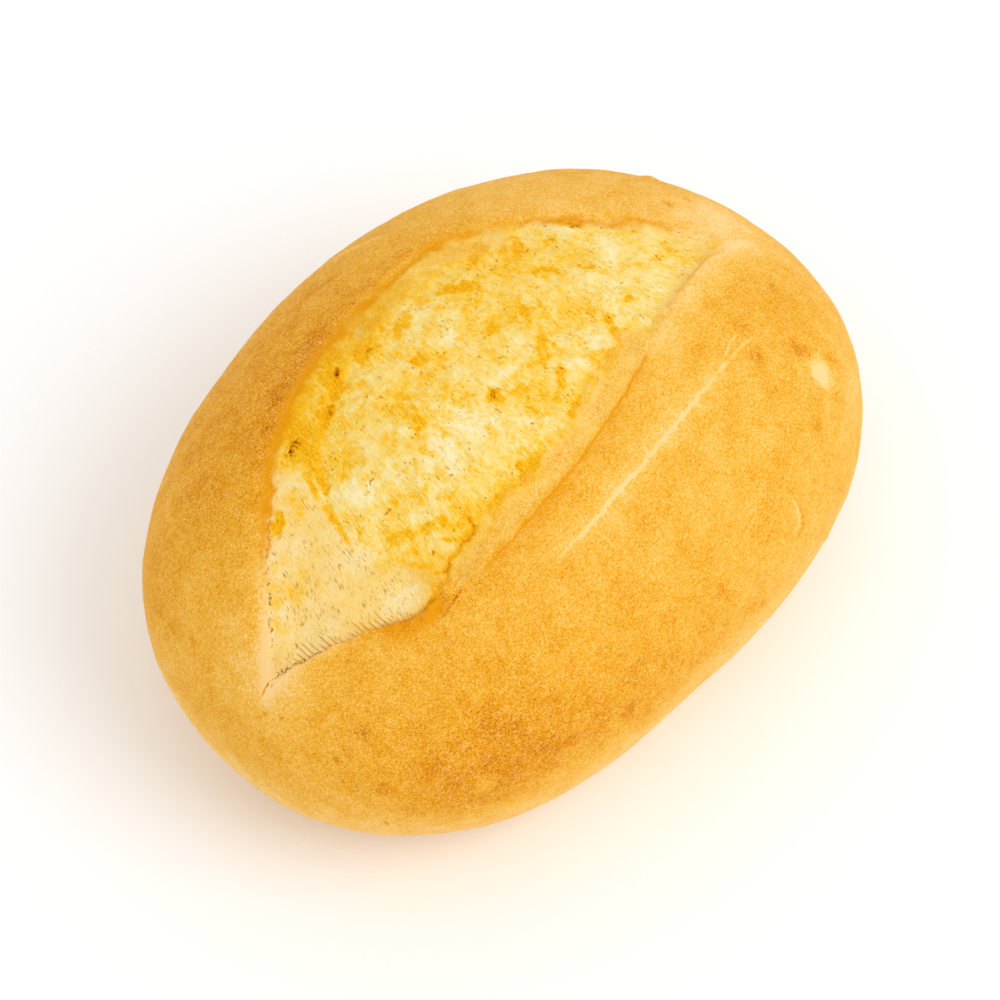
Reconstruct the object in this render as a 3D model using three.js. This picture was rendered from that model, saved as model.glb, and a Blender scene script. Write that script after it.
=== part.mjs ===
// A wheat bread roll: an oval loaf on a flat base, whose top burst open along one long cut.
//
// The roll is one closed body. Its outer skin is an oval dome on a bulging wall. The burst in its
// top is a leaf-shaped patch of torn crumb between two lips of crust, the far one on the +Y side
// and the near one on the -Y side. Millimetres, +Z up, the length along X, and the origin in the
// middle of the underside.

import * as THREE from 'three';

// Overall size
const LENGTH = 110;
const WIDTH = 81;
const HEIGHT = 53;

// Outer skin
const WAIST_HEIGHT = 22;      // height of the widest line round the roll
const FOOT_DEPTH = 31;        // depth that the lower half would have without its flat base
const FOOT_ROUNDING = 3;      // softness of the edge between wall and base
const OUTLINE_POWER = 2.285;  // 2 is an ellipse, more is squarer
const DOME_POWER = 2.1;
const WALL_POWER = 2.2;
const SKEW_COS_3 = -0.006;    // unevenness of the outline, as shares of its radius
const SKEW_SIN_3 = -0.02;
const SKEW_SIN_4 = -0.005;
const DENTS = { depth: 0.4, lengthX: 57, lengthY: 44 };  // broad shallow waves in the crust

// Burst: the two tips of the leaf, then the shape of each lip. A lip bows out from the line between
// the tips, most at peakX. It stands up by its rise, and a crease runs along its inner side.
const REAR_TIP = { x: -49.5, y: -6.5 };
const FRONT_TIP = { x: 44.3, y: -4.3 };
const FAR_LIP = {
  peakX: 4,
  bow: 28.2,
  rearPower: 2.7,
  frontPower: 2,
  fullness: 1.1,
  rise: 0.8,
  crease: 0.4,
};
const NEAR_LIP = {
  peakX: -18,
  bow: -12.6,
  rearPower: 2.3,
  frontPower: 2.2,
  fullness: 1.65,
  rise: 0.5,
  crease: 1.1,
};
const RISE_REACH = 6;         // how far from the lip its rise fades out
const CREASE_OFFSET = 0.9;    // from the lip to the bottom of the crease
const CREASE_WIDTH = 0.8;

// Relief of the torn crumb
const STRIP_WIDTH = 4.6;      // smooth stretched skin between a lip and the torn crumb
const STRIP_DROP = 0.7;
const TEAR_EDGE = 1.6;        // width of the step from that skin up to the crumb
const VALLEY_DEPTH = 2.2;     // the crumb lies lower towards the rear tip
const VALLEY_START_X = -12;
const VALLEY_END_X = -34;
const TAPER_WIDTH = 12;       // where the burst is narrower than this, its relief fades
const LUMPS = { height: 0.3, lengthX: 15, lengthY: 12.5 };  // unevenness of the torn crumb

// Mesh density
const OVAL_STEPS = 3600;      // steps round the oval when its bounds are measured
const STATIONS = 62;          // along the burst
const TIP_CROWDING = 0.6;     // how much closer together they are at its tips, from 0 to 1
const ACROSS = 28;            // from lip to lip
const DOME_RINGS = 14;        // from the lips down to the waist
const LIP_CROWDING = 1.5;     // 1 spaces those rings evenly, more brings them closer to the lips
const WALL_RINGS = 9;         // from the waist down to the base

const smoothstep = THREE.MathUtils.smoothstep;
const lerp = THREE.MathUtils.lerp;
const bell = (distance, width) => Math.exp(-((distance / width) ** 2));

// ---- Outer skin -----------------------------------------------------------------------------

// Radius of the uneven oval at an angle, on a roll of half length 1.
function ovalRadius(angle) {
  const alongX = Math.abs(Math.cos(angle)) ** OUTLINE_POWER;
  const alongY = Math.abs(Math.sin(angle) * (LENGTH / WIDTH)) ** OUTLINE_POWER;
  const skew = 1 + SKEW_COS_3 * Math.cos(3 * angle) + SKEW_SIN_3 * Math.sin(3 * angle)
    + SKEW_SIN_4 * Math.sin(4 * angle);
  return skew * (alongX + alongY) ** (-1 / OUTLINE_POWER);
}

// Centre of the oval's own bounds, and the scale that brings those to the roll's length and width.
function fitOval() {
  const bounds = new THREE.Box2();
  for (let step = 0; step < OVAL_STEPS; step += 1) {
    const angle = (2 * Math.PI * step) / OVAL_STEPS;
    const radius = ovalRadius(angle);
    bounds.expandByPoint(new THREE.Vector2(radius * Math.cos(angle), radius * Math.sin(angle)));
  }
  const size = bounds.getSize(new THREE.Vector2());
  const scale = new THREE.Vector2(LENGTH / size.x, WIDTH / size.y);
  return { scale, centre: bounds.getCenter(new THREE.Vector2()) };
}

const oval = fitOval();

// Plan position at an angle and at a share of the oval's radius.
function planPoint(angle, share) {
  const radius = ovalRadius(angle) * share;
  return {
    x: (radius * Math.cos(angle) - oval.centre.x) * oval.scale.x,
    y: (radius * Math.sin(angle) - oval.centre.y) * oval.scale.y,
  };
}

// Angle and share of the oval's radius at a plan position: the reverse of planPoint.
function planPolar(x, y) {
  const u = x / oval.scale.x + oval.centre.x;
  const v = y / oval.scale.y + oval.centre.y;
  const angle = Math.atan2(v, u);
  return { angle, share: Math.hypot(u, v) / ovalRadius(angle) };
}

// Height of the dome over a share of the oval's radius.
function domeHeight(share) {
  const rest = Math.max(0, 1 - share ** DOME_POWER);
  return WAIST_HEIGHT + (HEIGHT - WAIST_HEIGHT) * rest ** (1 / DOME_POWER);
}

// Rounds the foot of the wall off into the flat base at height 0.
function settle(z) {
  if (z <= -FOOT_ROUNDING) return 0;
  if (z >= FOOT_ROUNDING) return z;
  return (z + FOOT_ROUNDING) ** 2 / (4 * FOOT_ROUNDING);
}

// Height from -1 to 1 of a chequered pattern of waves.
function waves({ lengthX, lengthY }, x, y) {
  return Math.sin((2 * Math.PI * x) / lengthX) * Math.cos((2 * Math.PI * y) / lengthY);
}

// ---- Burst ----------------------------------------------------------------------------------

// Y of the straight line between the two tips.
function tipLine(x) {
  return THREE.MathUtils.mapLinear(x, REAR_TIP.x, FRONT_TIP.x, REAR_TIP.y, FRONT_TIP.y);
}

// Y of one lip at x: it bows out from the line between the tips, most at its peak.
function lipLine(lip, x) {
  const toRear = x < lip.peakX;
  const tip = toRear ? REAR_TIP : FRONT_TIP;
  const share = Math.min(1, (x - lip.peakX) / (tip.x - lip.peakX));
  const power = toRear ? lip.rearPower : lip.frontPower;
  return tipLine(x) + lip.bow * (1 - share ** power) ** lip.fullness;
}

// How far the torn surface lies above the dome, at a distance from the near and the far lip.
function tornRelief(x, fromNear, fromFar) {
  const width = fromNear + fromFar;
  const nearest = Math.min(fromNear, fromFar);
  const taper = smoothstep(width, 0, TAPER_WIDTH);
  const depth = fromNear < fromFar ? NEAR_LIP.crease : FAR_LIP.crease;
  const crease = depth * bell(nearest - CREASE_OFFSET, CREASE_WIDTH);
  const strip = STRIP_DROP * (1 - smoothstep(nearest, STRIP_WIDTH, STRIP_WIDTH + TEAR_EDGE));
  const middle = 4 * (fromNear / width) * (fromFar / width);
  const valley = VALLEY_DEPTH * smoothstep(-x, -VALLEY_START_X, -VALLEY_END_X) * middle;
  const lump = LUMPS.height * middle * (waves(LUMPS, x, fromNear) - 1);
  return taper * (lump - crease - strip - valley);
}

// How far the lip at a plan position stands above the dome: less where the burst narrows.
function lipRise(x, y) {
  const width = lipLine(FAR_LIP, x) - lipLine(NEAR_LIP, x);
  const lip = y > tipLine(x) ? FAR_LIP : NEAR_LIP;
  return lip.rise * smoothstep(width, 0, TAPER_WIDTH);
}

// ---- Mesh -----------------------------------------------------------------------------------

// Collects the corners and triangles of the closed body.
class Skin {
  constructor() {
    this.positions = [];
    this.triangles = [];
  }

  corner(x, y, z) {
    this.positions.push(x, y, z);
    return this.positions.length / 3 - 1;
  }

  // Two rows of corners joined by quads, with collapsed sides left out.
  strip(lower, upper) {
    for (let i = 0; i + 1 < lower.length; i += 1) {
      this.triangle(lower[i], upper[i + 1], lower[i + 1]);
      this.triangle(lower[i], upper[i], upper[i + 1]);
    }
  }

  // Plan position of a corner.
  plan(corner) {
    return { x: this.positions[corner * 3], y: this.positions[corner * 3 + 1] };
  }

  triangle(a, b, c) {
    if (a !== b && b !== c && c !== a) this.triangles.push(a, b, c);
  }

  geometry() {
    const geometry = new THREE.BufferGeometry();
    geometry.setAttribute('position', new THREE.Float32BufferAttribute(this.positions, 3));
    geometry.setIndex(this.triangles);
    geometry.computeVertexNormals();
    return geometry;
  }
}

// Half a cosine wave from 0 to 1, which crowds even steps together at both ends.
const crowd = (share) => 0.5 - 0.5 * Math.cos(Math.PI * share);

// X of a station along the burst.
function stationX(station) {
  const even = station / STATIONS;
  return lerp(REAR_TIP.x, FRONT_TIP.x, lerp(even, crowd(even), TIP_CROWDING));
}

// Height of the crust's edge at a lip: the dome there, plus the lip's own rise.
function lipHeight(x, y) {
  return domeHeight(planPolar(x, y).share) + lipRise(x, y);
}

// The torn patch: rows of corners from the near lip to the far lip, meeting at the two tips.
// Returns the corners of the two lips.
function addTornPatch(skin) {
  const rows = [];
  for (let station = 0; station <= STATIONS; station += 1) {
    const x = stationX(station);
    const near = lipLine(NEAR_LIP, x);
    const far = lipLine(FAR_LIP, x);
    if (station === 0 || station === STATIONS) {
      const tip = skin.corner(x, tipLine(x), lipHeight(x, tipLine(x)));
      rows.push(new Array(ACROSS + 1).fill(tip));
      continue;
    }
    const row = [];
    for (let step = 0; step <= ACROSS; step += 1) {
      const y = lerp(near, far, crowd(step / ACROSS));
      const onLip = step === 0 || step === ACROSS;
      const base = domeHeight(planPolar(x, y).share);
      const z = onLip ? lipHeight(x, y) : base + tornRelief(x, y - near, far - y);
      row.push(skin.corner(x, y, z));
    }
    rows.push(row);
  }
  rows.slice(1).forEach((row, index) => skin.strip(rows[index], row));
  return { near: rows.map((row) => row[0]), far: rows.map((row) => row[ACROSS]) };
}

// One column of the crust, from a corner on the lip down the dome and the wall to the base's edge.
function addCrustColumn(skin, lipCorner, waistAngle) {
  const lip = skin.plan(lipCorner);
  const start = planPolar(lip.x, lip.y);
  const startTurn = Math.acos(start.share ** (DOME_POWER / 2));
  const gap = waistAngle - start.angle;
  const angleGap = Math.atan2(Math.sin(gap), Math.cos(gap));
  const rise = lipRise(lip.x, lip.y);
  const column = [lipCorner];
  for (let ring = 1; ring <= DOME_RINGS; ring += 1) {
    const down = (ring / DOME_RINGS) ** LIP_CROWDING;
    const turn = startTurn * (1 - down);
    const angle = start.angle + angleGap * smoothstep(down, 0, 1);
    const share = Math.cos(turn) ** (2 / DOME_POWER);
    const plan = planPoint(angle, share);
    const fromLip = Math.hypot(plan.x - lip.x, plan.y - lip.y);
    const dent = DENTS.depth * waves(DENTS, plan.x, plan.y) * smoothstep(fromLip, 0, RISE_REACH);
    const z = domeHeight(share) + rise * bell(fromLip, RISE_REACH) + dent * (1 - down);
    column.push(skin.corner(plan.x, plan.y, z));
  }
  const footTurn = Math.asin(((WAIST_HEIGHT + FOOT_ROUNDING) / FOOT_DEPTH) ** (WALL_POWER / 2));
  for (let ring = 1; ring <= WALL_RINGS; ring += 1) {
    const turn = footTurn * (ring / WALL_RINGS);
    const plan = planPoint(waistAngle, Math.cos(turn) ** (2 / WALL_POWER));
    const z = WAIST_HEIGHT - FOOT_DEPTH * Math.sin(turn) ** (2 / WALL_POWER);
    column.push(skin.corner(plan.x, plan.y, settle(z)));
  }
  return column;
}

// The crust: a ring of columns that hangs from the two lips, closed by the flat base.
function addCrust(skin, lips) {
  const loop = [...lips.near.slice(0, STATIONS), ...lips.far.slice(1).reverse()];
  const rearAngle = planPolar(REAR_TIP.x, REAR_TIP.y).angle;
  const columns = loop.map((corner, index) => {
    const waistAngle = rearAngle + (2 * Math.PI * index) / loop.length;
    return addCrustColumn(skin, corner, waistAngle);
  });
  columns.forEach((column, index) => skin.strip(columns[(index + 1) % columns.length], column));
  const middle = skin.corner(0, 0, 0);
  columns.forEach((column, index) => {
    const next = columns[(index + 1) % columns.length];
    skin.triangle(column.at(-1), middle, next.at(-1));
  });
}

const skin = new Skin();
addCrust(skin, addTornPatch(skin));

const crust = new THREE.MeshStandardMaterial({ color: 0xf0ae4e, roughness: 0.55, metalness: 0 });
const roll = new THREE.Mesh(skin.geometry(), crust);
roll.name = 'roll';

const group = new THREE.Group();
group.add(roll);

export default group;
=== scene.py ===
"""A wheat bread roll, baked golden, whose top burst open in the oven along one long cut.

Two closed pieces stand for the roll: the crust, with the pocket that the burst left in its top, and
the torn crumb that fills the pocket. Shapes are worked out in millimetres, in the roll's own frame:
length along X, the far lip of the burst on the +Y side and the near lip on the -Y side.
"""

import math
from dataclasses import dataclass

import bpy
import numpy as np
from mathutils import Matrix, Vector


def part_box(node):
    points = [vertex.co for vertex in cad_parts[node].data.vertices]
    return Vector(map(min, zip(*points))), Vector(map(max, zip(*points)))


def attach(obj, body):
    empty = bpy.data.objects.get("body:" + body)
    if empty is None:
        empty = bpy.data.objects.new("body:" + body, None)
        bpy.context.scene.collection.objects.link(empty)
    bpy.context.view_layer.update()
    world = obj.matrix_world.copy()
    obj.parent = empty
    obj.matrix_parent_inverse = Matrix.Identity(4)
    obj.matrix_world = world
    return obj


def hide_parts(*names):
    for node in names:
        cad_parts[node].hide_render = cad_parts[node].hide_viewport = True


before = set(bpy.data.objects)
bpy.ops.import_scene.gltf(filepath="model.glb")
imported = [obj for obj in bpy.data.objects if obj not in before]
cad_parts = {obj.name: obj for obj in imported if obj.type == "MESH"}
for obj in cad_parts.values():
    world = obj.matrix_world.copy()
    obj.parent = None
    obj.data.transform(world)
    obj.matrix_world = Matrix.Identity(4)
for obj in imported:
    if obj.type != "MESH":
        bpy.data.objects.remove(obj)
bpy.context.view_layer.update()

MM = 0.001
LOW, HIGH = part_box("roll")
LENGTH, WIDTH, HEIGHT = [(high - low) / MM for low, high in zip(LOW, HIGH)]

# Outer skin
WAIST_HEIGHT = 22.0      # height of the widest line round the roll
FOOT_DEPTH = 31.0        # depth that the lower half would have without its flat base
FOOT_ROUNDING = 3.0      # softness of the edge between wall and base

# Fullness of the curves: 2 makes an ellipse, and more a squarer one
OUTLINE_POWER = 2.285
DOME_POWER = 2.1
WALL_POWER = 2.2

# How the plan departs from an even oval: waves that go three or four times round it
SKEW_COS_3 = -0.006
SKEW_SIN_3 = -0.02
SKEW_SIN_4 = -0.005

# Burst
REAR_TIP = (-49.5, -6.5)
FRONT_TIP = (44.3, -4.3)
TAPER_WIDTH = 12.0       # where the burst is narrower than this, its relief fades
POCKET_FLOOR = 32.0      # height of the flat floor under the torn crumb
POCKET_INSET = 2.0       # how far that floor's edge lies inside the lips
POCKET_STEP = 0.7        # how far the pocket's wall starts below the lips
POCKET_SHARE = 0.3       # the largest inset, as a share of the burst's width
CRUMB_FLOOR = 32.5       # height of the torn crumb's flat underside
CORE_REAR = -29.8        # x where the rough core ends, behind it the skin is smooth
CORE_ROUND = 0.035       # how far the core's rear end is rounded, for each mm of Y squared
CORE_MIDDLE = -3.5       # y of the rearmost point of the core
CORE_DEPTH = 0.35        # how far the core lies below the smooth skin round it
VALLEY_DEPTH = 1.3       # how far the torn surface sinks towards the rear
SPLIT_DEPTH = 0.3
FIBRE_FAN = 0.008        # how fast the fibres spread towards the near lip
FIBRE_ROOT = 8.0         # y where the fibres' spacing is their own

# Mesh density
COLUMNS_NEAR = 350
COLUMNS_FAR = 410
POCKET_RINGS = 4
DOME_RINGS = 84
WALL_RINGS = 28
BASE_RINGS = 4
LIP_CROWDING = 1.4       # 1 spaces the dome's rings evenly, more brings them closer to the lips
CRUMB_COLUMNS = 500
CRUMB_ROWS = 190
WELD_REACH = 0.002       # corners that lie closer together than this become one


@dataclass
class Lip:
    """One lip of the burst: the line it runs along, and the smooth strip inside it."""

    side: int            # +1 is the far lip, -1 the near one
    peak_x: float
    bow: float           # distance from the line between the tips, at the peak
    rear_power: float    # how long the lip stays bowed out towards the rear tip
    front_power: float   # the same towards the front tip
    fullness: float      # 1 turns in steeply at the tips, more makes them finer
    overlap: float       # how far the crumb runs on past the lip, under the crust
    strip: float         # width of the smooth stretched skin inside the lip
    strip_ends: tuple    # the x values between which that skin lies


FAR_LIP = Lip(
    side=1, peak_x=4.0, bow=28.2, rear_power=2.7, front_power=2.0, fullness=1.1,
    overlap=0.8, strip=5.0, strip_ends=(-70.0, 20.0),
)
NEAR_LIP = Lip(
    side=-1, peak_x=-18.0, bow=-12.6, rear_power=2.3, front_power=2.2, fullness=1.65,
    overlap=0.4, strip=4.4, strip_ends=(-26.0, 19.5),
)

# Plan points of the split that starts at the near lip and runs on along the core's near edge
SPLIT = [(-28.9, -17.0), (-26.6, -16.5), (-24.8, -15.3), (-20.0, -14.4), (-17.1, -12.4)]

# Relief beside the lips, as heights against the dome
STRIP_LEVEL = -0.3       # the smooth skin inside the lips
FAR_SHOULDER = 0.3       # the crust at the far lip
CREASE_SHOULDER = 0.15   # the crust at the near lip, where that is a shallow crease
CREASE_DEPTH = 0.26
HANGING_SHOULDER = 0.5   # the crust at the near lip, where that hangs over the torn valley
HANGING_DROP = 0.5       # how far the valley's edge under it lies below the smooth skin
HANGING_FROM = -31.0     # behind this x the near lip hangs over
HANGING_TO = -27.0       # in front of this x it is a crease

# How far the crust runs on under the crumb, and how deep it lies there
TUCK_REACH = 0.3
TUCK_DEPTH = 0.05
HANGING_TUCK_REACH = 0.05
HANGING_TUCK_DEPTH = 0.9


@dataclass
class Mark:
    """A patch of colour on the torn crumb, an ellipse whose long axis may be turned."""

    x: float
    y: float
    length: float
    width: float
    turn: float          # degrees from X
    strength: float


TOASTED_GAIN = 0.42      # what a toasted mark of strength 1 adds to the crumb's toasting
PALE_LOSS = 0.38         # what a pale mark of strength 1 takes from it

# Patches that caught the heat, along the ragged edges and on high folds
TOASTED = [
    Mark(7.5, 13.4, 3.0, 1.2, -45, 1.7),
    Mark(-2.0, 15.4, 2.6, 1.0, 28, 1.0),
    Mark(-5.5, 17.0, 3.4, 1.3, 40, 0.5),
    Mark(-9.5, 15.6, 1.6, 0.9, 40, 0.9),
    Mark(-15.2, 15.6, 3.0, 1.1, 60, 1.1),
    Mark(-18.6, 13.4, 2.2, 1.2, 50, 0.9),
    Mark(-24.4, 11.4, 3.4, 0.6, 55, 1.0),
    Mark(-28.0, 6.4, 3.2, 0.45, 70, 0.9),
    Mark(-2.3, -2.7, 1.6, 1.1, 60, 1.4),
    Mark(0.4, -4.2, 2.2, 0.9, -20, 0.7),
    Mark(-4.9, 9.1, 1.3, 0.9, 0, 0.8),
    Mark(-12.3, 3.0, 1.9, 1.3, 70, 0.9),
    Mark(-13.4, -13.8, 2.2, 1.2, 30, 1.0),
    Mark(-7.4, -13.6, 2.6, 1.4, 10, 1.0),
    Mark(-7.3, -11.8, 0.6, 0.5, 0, 1.0),
    Mark(6.0, -6.6, 2.7, 0.9, 45, 0.9),
    Mark(8.0, -1.4, 3.4, 0.8, 50, 0.9),
    Mark(3.8, -11.2, 2.0, 0.9, 20, 0.8),
    Mark(-21.6, -9.6, 2.6, 1.0, -20, 0.7),
    Mark(-34.3, 6.9, 2.4, 1.0, 52, 1.2),
    Mark(18.6, 13.7, 1.8, 1.3, 20, 1.1),
    Mark(13.9, 16.5, 1.7, 1.0, 0, 0.9),
    Mark(16.6, 14.4, 1.0, 0.6, 0, 0.8),
    Mark(27.0, 11.4, 2.2, 0.9, -45, 1.6),
    Mark(32.0, 8.6, 4.4, 1.2, -42, 1.2),
    Mark(17.0, 7.8, 2.3, 1.2, -50, 0.7),
    Mark(16.8, -6.8, 3.4, 0.7, 66, 1.2),
    Mark(13.0, -9.2, 2.0, 0.8, 20, 1.0),
    Mark(22.3, -3.6, 1.5, 0.9, -40, 0.8),
    Mark(22.6, 3.4, 2.4, 0.7, -62, 0.7),
    Mark(-25.0, -7.0, 3.2, 1.4, -30, 0.5),
    Mark(10.6, 4.6, 2.4, 0.9, 60, 0.5),
    Mark(-21.4, -12.2, 1.8, 0.4, -50, 0.8),
    Mark(-26.2, 7.0, 4.6, 0.45, 66, 0.9),
    Mark(-29.4, 0.4, 4.4, 0.4, 76, 0.8),
]

# Folds that stayed white
PALE = [
    Mark(-7.5, -3.0, 3.8, 2.6, -40, 1.1),
    Mark(-13.0, -3.6, 4.0, 2.0, 60, 1.1),
    Mark(-17.0, -4.8, 2.6, 1.4, 60, 0.6),
    Mark(0.6, -1.1, 2.8, 0.9, -3, 0.9),
    Mark(-1.6, -8.3, 2.2, 1.1, -50, 0.7),
    Mark(-24.6, 1.8, 3.8, 2.0, -60, 0.7),
    Mark(-30.4, -4.5, 4.5, 1.8, -50, 0.5),
    Mark(-30.8, -13.2, 3.4, 1.7, -20, 0.6),
    Mark(9.1, -6.6, 2.4, 1.1, -40, 0.8),
    Mark(14.1, -6.4, 2.2, 1.1, -40, 0.8),
    Mark(27.5, 4.5, 4.0, 1.6, -55, 0.4),
    Mark(2.0, 10.5, 3.6, 1.6, 30, 0.4),
    Mark(-46.8, -4.6, 3.5, 1.6, 60, 0.5),
]

# Clusters of specks that burnt dark
BURNT = [
    Mark(-25.4, 13.0, 1.5, 1.0, 30, 1.0),
    Mark(-13.4, 16.6, 1.3, 0.4, 50, 1.0),
    Mark(-29.2, 8.4, 0.5, 0.45, 0, 0.9),
    Mark(25.2, 14.2, 0.7, 0.5, 0, 1.0),
    Mark(26.6, 11.6, 1.6, 0.6, -55, 1.0),
    Mark(22.6, 11.2, 0.8, 0.4, -50, 0.7),
    Mark(32.8, 4.8, 0.8, 0.45, -50, 0.6),
    Mark(-18.2, 13.0, 1.6, 0.9, 60, 0.4),
    Mark(-2.6, -2.4, 1.4, 0.4, 50, 0.5),
    Mark(-33.6, -13.9, 1.7, 0.7, -10, 0.6),
    Mark(-28.4, -2.6, 2.2, 0.5, 60, 0.4),
    Mark(-8.0, 16.2, 0.8, 0.5, 40, 0.5),
    Mark(7.0, 17.9, 0.5, 0.25, -45, 0.6),
]


@dataclass
class Spot:
    """A place on the crust that is baked darker or paler, and may stand out with a ring round it."""

    centre: tuple
    reach: float
    bake: float          # above 0 is darker
    height: float = 0.0  # below 0 is a dent
    rim: float = 0.0     # height of the ring


# Broad clouds of browning; the darker ones on the far (+Y) side are painted shade as well as browning
CLOUDS = [
    Spot((-36, -27, 34), 14, 0.19),
    Spot((-31, -35, 29), 10, 0.26),
    Spot((-13, -38, 27), 12, 0.22),
    Spot((-39, -32, 23), 5, 0.16),
    Spot((20, -39, 26), 6, -0.12),
    # Partly painted shade: the far side lies away from the key light, and these clouds also make it
    # darker in colour
    Spot((-14, 25, 45), 17, 0.24),
    Spot((-33, 19, 42), 12, 0.21),
    Spot((-48, 18, 30), 7, 0.14),
    Spot((-49, 3, 36), 5.5, -0.10),
    Spot((40, -15, 42), 7, 0.14),
    Spot((45, 0, 41), 7.5, -0.44),
    Spot((30, 17, 45), 13, -0.16),
    Spot((43, -28, 29), 8, -0.22),
    Spot((-48, -6, 36), 5.5, -0.36),
]

# Small blisters, dents and brown spots
SPOTS = [
    Spot((38.2, -26.1, 38.0), 2.6, -0.72, -0.40, 0.08),
    Spot((40.3, -27.4, 35.2), 0.4, 0.50),
    Spot((19.8, -36.2, 35.0), 1.5, -0.06, 0.15),
    Spot((17.6, -37.6, 33.0), 0.9, 0.16),
    Spot((45.7, 14.0, 36.1), 1.3, 0.05, 0.45),
    Spot((27.3, -38.1, 20.4), 1.1, 0.05, 0.50),
    Spot((30.6, -20.9, 45.0), 1.6, 0.30, -0.15),
    Spot((36.2, -21.5, 42.3), 1.6, 0.18),
    Spot((31.8, -16.2, 46.1), 2.0, 0.16),
    Spot((32.2, -31.2, 36.9), 1.3, 0.26),
    Spot((12.3, -25.0, 46.9), 1.8, 0.16),
    Spot((5.2, -38.3, 33.1), 1.4, 0.22),
    Spot((4.6, -40.1, 27.4), 1.3, 0.20),
    Spot((11.8, -40.3, 23.7), 1.4, 0.22),
    Spot((-14.1, -39.9, 26.3), 1.5, 0.24),
    Spot((-27.1, -36.6, 29.6), 2.0, 0.15),
    Spot((-23.8, -34.2, 36.3), 1.3, 0.16),
    Spot((-36.0, -33.5, 27.2), 1.6, -0.22),
    Spot((-45.0, -20.0, 36.0), 1.3, 0.26, -0.04),
    Spot((-47.7, -19.1, 33.4), 1.2, 0.10),
    Spot((-48.0, -13.9, 36.0), 1.5, 0.14, -0.04),
    Spot((-41.1, -28.3, 31.8), 1.7, 0.16),
    Spot((-46.4, -25.1, 28.1), 1.5, 0.22, -0.04),
    Spot((-51.4, 3.5, 33.2), 1.4, 0.12),
    Spot((-50.5, 7.1, 33.6), 1.2, 0.14),
    Spot((-50.1, 10.4, 32.8), 1.4, 0.14, -0.04),
    Spot((-49.2, 15.4, 30.4), 1.2, 0.12),
    Spot((-43.3, 19.3, 35.5), 1.0, 0.12),
    Spot((41.1, 6.3, 42.5), 1.2, 0.40),
    Spot((44.9, 6.3, 39.7), 1.1, 0.34),
    Spot((-47.0, -25.7, 19.5), 0.5, 0.70),
    Spot((-51.4, -7.5, 33.5), 0.45, 0.60),
    Spot((-50.5, -9.9, 34.3), 0.4, 0.50),
    Spot((-49.0, -18.6, 31.9), 0.45, 0.55),
    Spot((-40.9, -13.1, 42.2), 0.45, 0.50),
    Spot((41.7, -13.2, 42.0), 0.8, 0.30),
]


@dataclass
class Streak:
    """A thin line on the crust, given in plan, where the skin stretched, split or scorched."""

    start: tuple
    end: tuple
    sag: float           # how far its middle lies to the left of the straight way
    width: float
    bake: float          # above 0 is darker


# A scorched line, a crack, a crescent-shaped fold, pale stretch lines and brown smears
STREAKS = [
    Streak((-30.0, -18.8), (-24.2, -18.2), -0.3, 0.25, 0.50),
    Streak((-50.6, -5.8), (-47.4, -6.2), 0.1, 0.22, 1.20),
    Streak((19.4, -38.1), (21.2, -34.6), -1.7, 0.40, -0.34),
    Streak((19.8, -38.5), (21.8, -34.6), -1.9, 0.32, 0.24),
    Streak((-19.0, -24.8), (28.0, -18.9), -0.6, 2.8, -0.20),
    Streak((-16.0, -24.6), (26.0, -19.2), -0.6, 0.42, -0.42),
    Streak((23.0, -19.8), (31.0, -16.2), 0.0, 0.40, -0.34),
    Streak((23.5, -19.6), (33.0, -18.0), 0.2, 0.40, -0.34),
    Streak((37.4, -18.6), (32.3, -28.2), 0.5, 0.50, -0.24),
    Streak((35.4, -20.6), (42.6, -25.6), -0.6, 1.40, 0.26),
    Streak((34.8, -25.6), (40.2, -29.2), -1.0, 1.40, 0.22),
    Streak((3.5, 36.0), (10.5, 30.6), 0.2, 0.9, -0.22),
    Streak((-5.4, 32.0), (1.0, 31.0), 0.2, 0.8, 0.22),
]


# ---- Numbers ---------------------------------------------------------------------------------


def smooth(value, start, end):
    """0 before start, 1 after end, and an S-curve between them."""
    share = np.clip((value - start) / (end - start), 0, 1)
    return share * share * (3 - 2 * share)


def spanning(value, start, full, fall, end):
    """1 from full to fall, 0 before start and after end, and S-curves between them."""
    return smooth(value, start, full) * (1 - smooth(value, fall, end))


def bell(distance, width):
    """1 at distance 0, sinking to 0 on both sides."""
    return np.exp(-((distance / width) ** 2))


def lattice(cells, seed):
    """A random number from -1 to 1 for each whole-number cell."""
    mixed = np.full(len(cells), seed * 2654435761, np.uint64)
    for axis, prime in enumerate((73856093, 19349663, 83492791)):
        mixed ^= (cells[:, axis].astype(np.int64) * prime).astype(np.uint64)
        mixed = mixed * np.uint64(6364136223846793005) + np.uint64(1442695040888963407)
        mixed ^= mixed >> np.uint64(29)
    return (mixed & np.uint64(0xFFFFFF)).astype(float) / 0x7FFFFF - 1


def noise(points, grain, seed):
    """Smooth random field from -1 to 1; grain is the size of its lumps along X, Y and Z."""
    scaled = points / np.broadcast_to(np.asarray(grain, float), (3,))
    base = np.floor(scaled)
    part = scaled - base
    part = part * part * part * (part * (part * 6 - 15) + 10)
    total = np.zeros(len(points))
    for corner in range(8):
        step = np.array([corner & 1, corner >> 1 & 1, corner >> 2 & 1])
        weight = np.prod(np.where(step == 1, part, 1 - part), axis=1)
        total += weight * lattice(base + step, seed)
    return total


def layers(points, grain, count, seed):
    """Noise with finer and weaker noise on top, count layers in all."""
    total = np.zeros(len(points))
    for layer in range(count):
        total += noise(points, np.asarray(grain, float) / 2 ** layer, seed + layer) / 2 ** layer
    return total


def ridges(points, grain, seed):
    """Thin crests, 1 high, that wind between hollows which sink towards 0."""
    return (1 - np.abs(noise(points, grain, seed))) ** 3


def flat(x, y):
    """Plan positions as points for the noise."""
    return np.stack([x, y, np.zeros_like(x)], axis=1)


# ---- Outer skin ------------------------------------------------------------------------------


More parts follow.
